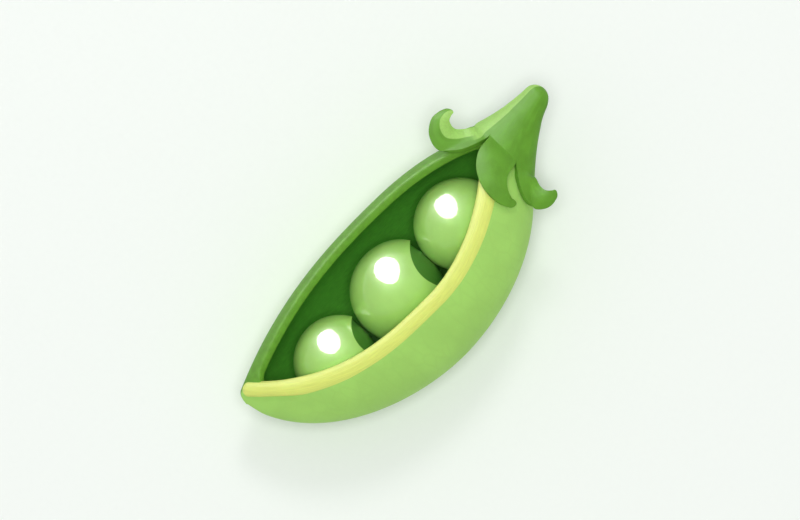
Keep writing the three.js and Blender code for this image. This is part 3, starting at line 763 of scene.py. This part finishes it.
def build_stem():
    x = lerp(STEM_START, STEM_TO, np.sin(np.pi / 2 * np.linspace(0, 1, STEM_STATIONS)))
    past = np.maximum(0, x - STEM_ROUND_FROM) / (STEM_TO - STEM_ROUND_FROM)
    full = np.sqrt(np.clip(1 - past**2, BLUNTING, 1))
    turn = 2 * np.pi * np.arange(STEM_RING) / STEM_RING
    grooves = 1 - np.cos(STEM_RIBS * turn + STEM_RIB_TURN)[None]
    ribs = STEM_RIB_RELIEF * smoothstep(x, *STEM_RIBS_RISE)[:, None] * grooves
    inset = STEM_RADIUS * (1 - full) + NECK_DIP * (1 - smoothstep(x, STEM_START, STEM_DIPS_FROM))
    inset = inset[:, None] + STEM_RADIUS * full[:, None] * ribs
    rings = flare_point(x[:, None], turn[None], inset)
    # Painted highlight: a lighter green strip along the stem's rear flank.
    painted_light = np.broadcast_to(painted_light_flank(np.degrees(turn))[None], rings.shape[:2])
    grain = grain_round(turn[None], NECK_X - x[:, None])
    return make_tube("stem_stalk", rings, {"painted_light": painted_light, "skin": grain})


# ---------------------------------------------------------------- materials


class Nodes:
    """A new material's node tree, with short ways to add and join nodes."""

    def __init__(self, name, **shader):
        self.material = bpy.data.materials.new(name)
        self.material.use_nodes = True
        self.tree = self.material.node_tree
        self.shader = self.tree.nodes["Principled BSDF"]
        for key, value in shader.items():
            self.shader.inputs[key.replace("_", " ")].default_value = value

    def add(self, kind, inputs=(), **settings):
        node = self.tree.nodes.new(kind)
        for key, value in settings.items():
            setattr(node, key, value)
        for key, value in dict(inputs).items():
            self.feed(node.inputs[key], value)
        return node

    def feed(self, socket, value):
        if isinstance(value, bpy.types.NodeSocket):
            self.tree.links.new(value, socket)
        else:
            socket.default_value = value

    def attribute(self, name, output):
        return self.add("ShaderNodeAttribute", attribute_name=name).outputs[output]

    def maths(self, operation, *values):
        node = self.add("ShaderNodeMath", operation=operation)
        for socket, value in zip(node.inputs, values):
            self.feed(socket, value)
        return node.outputs[0]

    def ramp(self, value, low, high, out_low=0.0, out_high=1.0):
        node = self.add("ShaderNodeMapRange", {"Value": value, "From Min": low, "From Max": high})
        node.inputs["To Min"].default_value = out_low
        node.inputs["To Max"].default_value = out_high
        node.interpolation_type = "SMOOTHSTEP"
        return node.outputs["Result"]

    def noise(self, vector, scale, detail=3.0, roughness=0.5):
        inputs = {"Vector": vector, "Scale": scale, "Detail": detail, "Roughness": roughness}
        return self.add("ShaderNodeTexNoise", inputs).outputs["Fac"]

    def stretch(self, vector, scale, rotation=(0.0, 0.0, 0.0)):
        inputs = {"Vector": vector, "Scale": scale, "Rotation": rotation}
        return self.add("ShaderNodeMapping", inputs).outputs[0]

    def mix(self, factor, a, b):
        node = self.add("ShaderNodeMix", data_type="RGBA")
        for key, value in (("Factor", factor), ("A", a), ("B", b)):
            socket = [s for s in node.inputs if s.name == key and s.enabled][0]
            self.feed(socket, (*value, 1.0) if isinstance(value, tuple) and len(value) == 3 else value)
        return [s for s in node.outputs if s.enabled][0]

    def bump(self, height, distance, below=None):
        """Relief of a height in metres, on top of the relief below it."""
        inputs = {"Height": height, "Distance": distance}
        if below is not None:
            inputs["Normal"] = below
        return self.add("ShaderNodeBump", inputs).outputs["Normal"]

    def place(self):
        """Places on the object, in millimetres."""
        where = self.add("ShaderNodeTexCoord").outputs["Object"]
        return self.stretch(where, (1000.0, 1000.0, 1000.0))

    def finish(self, **sockets):
        for key, value in sockets.items():
            self.feed(self.shader.inputs[key.replace("_", " ")], value)
        return self.material


def shade(colour, factor):
    """The colour made lighter or darker."""
    return tuple(min(1.0, c * factor) for c in colour)


VEINS_FROM = (1.0, 5.0)  # the veins and the fibres fade in behind the nose


def pod_material():
    n = Nodes(
        "pod_skin_and_lining",
        Specular_IOR_Level=0.12,
        Subsurface_Weight=0.05,
        Subsurface_Scale=0.8 * MM,
    )
    where, skin = n.place(), n.attribute("skin", "Vector")
    patches = n.ramp(n.noise(where, 0.22, 3.0), 0.35, 0.65)
    speckle = n.noise(where, 5.0, 2.0, 0.6)
    cells = n.add(
        "ShaderNodeTexVoronoi",
        {"Vector": n.stretch(skin, (0.75, 0.34, 1.0), (0, 0, 0.45)), "Scale": 1.0, "Randomness": 0.9},
        feature="DISTANCE_TO_EDGE",
    ).outputs["Distance"]
    vein = n.ramp(cells, 0.0, 0.10, 1.0, 0.0)
    green = n.mix(patches, shade(LIGHT_GREEN, 1.04), shade(LIGHT_GREEN, 1.12))
    inside, lip = n.attribute("inside", "Fac"), n.attribute("lip", "Fac")
    valve = n.maths("SUBTRACT", 1.0, n.maths("MAXIMUM", inside, lip))
    behind_nose = n.ramp(n.add("ShaderNodeSeparateXYZ", {"Vector": skin}).outputs["X"], *VEINS_FROM)
    vein = n.maths("MULTIPLY", n.maths("MULTIPLY", vein, valve), behind_nose)
    green = n.mix(n.maths("MULTIPLY", vein, 0.2), green, shade(LIGHT_GREEN, 0.97))
    green = n.mix(n.ramp(speckle, 0.62, 0.75, 0.0, 0.35), green, shade(LIGHT_GREEN, 1.22))
    # Painted shade: the lips and the rear valve's top edge get a darker mid-green, as the rims lie in shade.
    lip_shade_patches = n.ramp(n.noise(where, 1.4, 3.0), 0.35, 0.65)
    lip_shade_green = n.mix(lip_shade_patches, shade(MID_GREEN, 0.93), shade(MID_GREEN, 1.08))
    fibres = n.noise(n.stretch(skin, (0.5, 4.0, 1.0)), 2.2, 3.0, 0.6)
    lining = n.mix(n.ramp(fibres, 0.3, 0.7), shade(DARK_GREEN, 1.8), shade(DARK_GREEN, 2.4))
    colour = n.mix(inside, green, lining)
    colour = n.mix(n.ramp(lip, 0.45, 0.55), colour, lip_shade_green)
    relief = n.bump(vein, 10 * MICRON)
    relief = n.bump(speckle, 10 * MICRON, relief)
    relief = n.bump(n.maths("MULTIPLY", fibres, behind_nose), 20 * MICRON, relief)
    rough = n.ramp(n.noise(where, 0.9), 0.3, 0.7, 0.5, 0.6)
    return n.finish(Base_Color=colour, Roughness=rough, Normal=relief)


def strand_material():
    n = Nodes("seed_strand_fibre", Specular_IOR_Level=0.15, Subsurface_Weight=0.08, Subsurface_Scale=0.8 * MM)
    grain = n.attribute("skin", "Vector")
    fibre = n.noise(n.stretch(grain, (0.35, 7.0, 1.0)), 1.6, 4.0, 0.6)
    blotch = n.noise(n.place(), 0.5, 2.0)
    colour = n.mix(n.ramp(fibre, 0.3, 0.7), shade(STRAND_YELLOW, 0.92), shade(STRAND_YELLOW, 1.06))
    colour = n.mix(n.ramp(blotch, 0.55, 0.75, 0.0, 0.25), colour, STRAND_BLOTCH)
    rough = n.ramp(fibre, 0.3, 0.7, 0.45, 0.6)
    return n.finish(Base_Color=colour, Roughness=rough, Normal=n.bump(fibre, 40 * MICRON))


def pea_material():
    n = Nodes(
        "pea_seed_skin",
        Specular_IOR_Level=0.3,
        Coat_Weight=1.0,
        Coat_Roughness=0.04,
        Coat_IOR=1.5,
        Subsurface_Weight=0.12,
        Subsurface_Scale=1.2 * MM,
    )
    where = n.place()
    cloud = n.noise(where, 0.35, 3.0)
    dimples = n.noise(where, 3.2, 2.0, 0.5)
    colour = n.mix(n.ramp(cloud, 0.35, 0.65), shade(LIGHT_GREEN, 1.09), shade(LIGHT_GREEN, 1.17))
    colour = n.mix(n.ramp(dimples, 0.6, 0.78, 0.0, 0.3), colour, shade(LIGHT_GREEN, 1.22))
    colour = n.mix(n.ramp(n.attribute("scar", "Fac"), 0.35, 0.6), colour, SCAR_TAN)
    # Painted shade: the pea's dish is dark green, where its neighbour's shadow falls.
    colour = n.mix(n.ramp(n.attribute("dish_shade", "Fac"), 0.0, 0.05), colour, shade(DARK_GREEN, 1.4))
    rough = n.ramp(cloud, 0.3, 0.7, 0.34, 0.42)
    return n.finish(Base_Color=colour, Roughness=rough, Normal=n.bump(dimples, 10 * MICRON))


def stalk_material():
    n = Nodes("seed_stalk_skin", Specular_IOR_Level=0.4, Subsurface_Weight=0.2, Subsurface_Scale=0.6 * MM)
    streak = n.noise(n.place(), 2.5, 3.0)
    colour = n.mix(n.ramp(streak, 0.35, 0.65), STALK_DARK, STALK_LIGHT)
    rough = n.ramp(streak, 0.3, 0.7, 0.35, 0.5)
    return n.finish(Base_Color=colour, Roughness=rough, Normal=n.bump(streak, 30 * MICRON))


def leafy_material(name):
    n = Nodes(name, Specular_IOR_Level=0.1, Subsurface_Weight=0.05, Subsurface_Scale=0.6 * MM)
    where, grain = n.place(), n.attribute("skin", "Vector")
    cloud = n.noise(where, 0.5, 3.0)
    fine = n.noise(where, 4.5, 2.0, 0.6)
    vein = n.noise(n.stretch(grain, (1.0, 1.0, 0.22)), 1.3, 3.0, 0.55)
    green = n.mix(n.ramp(cloud, 0.35, 0.65), shade(MID_GREEN, 0.93), shade(MID_GREEN, 1.07))
    green = n.mix(n.ramp(vein, 0.52, 0.68, 0.0, 0.35), green, shade(MID_GREEN, 1.3))
    # Painted highlight: the lit strip is a lighter green.
    light = n.mix(n.ramp(fine, 0.35, 0.65), shade(LIGHT_GREEN, 0.95), shade(LIGHT_GREEN, 1.05))
    colour = n.mix(n.ramp(n.attribute("painted_light", "Fac"), 0.3, 0.7), green, light)
    relief = n.bump(fine, 20 * MICRON, n.bump(vein, 50 * MICRON))
    rough = n.ramp(fine, 0.3, 0.7, 0.5, 0.62)
    return n.finish(Base_Color=colour, Roughness=rough, Normal=relief)


# ---------------------------------------------------------------- the pieces


def add_piece(piece, material, slot, *nodes):
    piece.data.materials.clear()
    piece.data.materials.append(material)
    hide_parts(*nodes)
    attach(piece, "root")


def build_object():
    add_piece(build_pod(), pod_material(), "pod_skin", "pod_wall")
    add_piece(build_strand(), strand_material(), "seed_strand", "lip_strand")
    pea_skin, stalk_skin = pea_material(), stalk_material()
    for index, node in enumerate(PEA_ORDER):
        add_piece(build_pea(index), pea_skin, "pea_skin", node)
        add_piece(build_stalk(index), stalk_skin, "seed_stalk", node.replace("pea_", "funicle_"))
    add_piece(build_calyx(), leafy_material("calyx_leaf"), "calyx_skin", "calyx")
    add_piece(build_stem(), leafy_material("stem_skin"), "stem_skin", "stem")


# ---------------------------------------------------------------- floor, light and camera

UP_SCREEN = Vector((1, 1, 0)).normalized()
RIGHT_SCREEN = Vector((1, -1, 0)).normalized()
LENS, SENSOR = 400.0, 36.0  # a long lens, so that the view from above is almost flat
VIEW_WIDTH, VIEW_TURN = 88.0 * MM, -45  # the turn lays the pod slanting across the picture
VIEW_CENTRE = Vector(to_frame((22.7, 2.75, TABLE_LEVEL + 7.5)).tolist())
FLOOR_HALF = 3.0  # in metres, as are the lamps' places and sizes
ROOM_STRENGTH = 0.5


def make_floor():
    mesh = bpy.data.meshes.new("floor")
    s = FLOOR_HALF
    mesh.from_pydata([(-s, -s, 0), (s, -s, 0), (s, s, 0), (-s, s, 0)], [], [(0, 1, 2, 3)])
    floor = bpy.data.objects.new("floor", mesh)
    bpy.context.scene.collection.objects.link(floor)
    n = Nodes("floor_paper", Specular_IOR_Level=0.1, Roughness=0.9)
    grain = n.noise(n.place(), 1.5, 2.0)
    colour = n.mix(n.ramp(grain, 0.3, 0.7), shade(FLOOR_COLOUR, 0.995), FLOOR_COLOUR)
    mesh.materials.append(n.finish(Base_Color=colour))


def area_light(name, place, size, watts, **settings):
    """An oval lamp of the given width and height that faces the object."""
    light = bpy.data.lights.new(name, "AREA")
    light.shape = "ELLIPSE"
    light.size, light.size_y = size
    light.energy = watts
    lamp = bpy.data.objects.new(name, light)
    lamp.location = place
    lamp.rotation_euler = (VIEW_CENTRE - lamp.location).to_track_quat("-Z", "Y").to_euler()
    for key, value in settings.items():
        setattr(lamp, key, value)
    bpy.context.scene.collection.objects.link(lamp)


def from_angle(across, elevation, distance):
    """A place seen from the object, across degrees clockwise from the picture's top."""
    a, e = math.radians(across), math.radians(elevation)
    flat = UP_SCREEN * math.cos(a) + RIGHT_SCREEN * math.sin(a)
    return VIEW_CENTRE + (flat * math.cos(e) + Vector((0, 0, math.sin(e)))) * distance


def make_light():
    world = bpy.data.worlds.new("soft_room")
    world.use_nodes = True
    background = world.node_tree.nodes["Background"]
    background.inputs["Color"].default_value = (1.0, 1.0, 1.0, 1.0)
    background.inputs["Strength"].default_value = ROOM_STRENGTH
    bpy.context.scene.world = world
    above, behind = VIEW_CENTRE + Vector((0, 0, 1.2)), from_angle(0, 50, 0.7)
    area_light("overhead", above, size=(0.4, 0.4), watts=6.4, visible_glossy=False)
    area_light("key", behind, size=(0.16, 0.16), watts=0.7, visible_glossy=False)
    # A lamp close to the peas that lights nothing and only shows as their white spots.
    close = from_angle(-35, 32, 0.125)
    area_light("pea_highlight", close, size=(0.112, 0.177), watts=1.14, visible_diffuse=False)


def make_camera():
    camera = bpy.data.objects.new("camera", bpy.data.cameras.new("camera"))
    camera.data.lens = LENS
    camera.data.sensor_width = SENSOR
    distance = VIEW_WIDTH * LENS / SENSOR
    camera.location = VIEW_CENTRE + Vector((0, 0, distance))
    camera.rotation_euler = (0, 0, math.radians(VIEW_TURN))
    camera.data.clip_start, camera.data.clip_end = 0.01, 10.0
    bpy.context.scene.collection.objects.link(camera)
    bpy.context.scene.camera = camera


make_camera()
build_object()
make_floor()
make_light()
bpy.context.scene.view_settings.view_transform = "Standard"
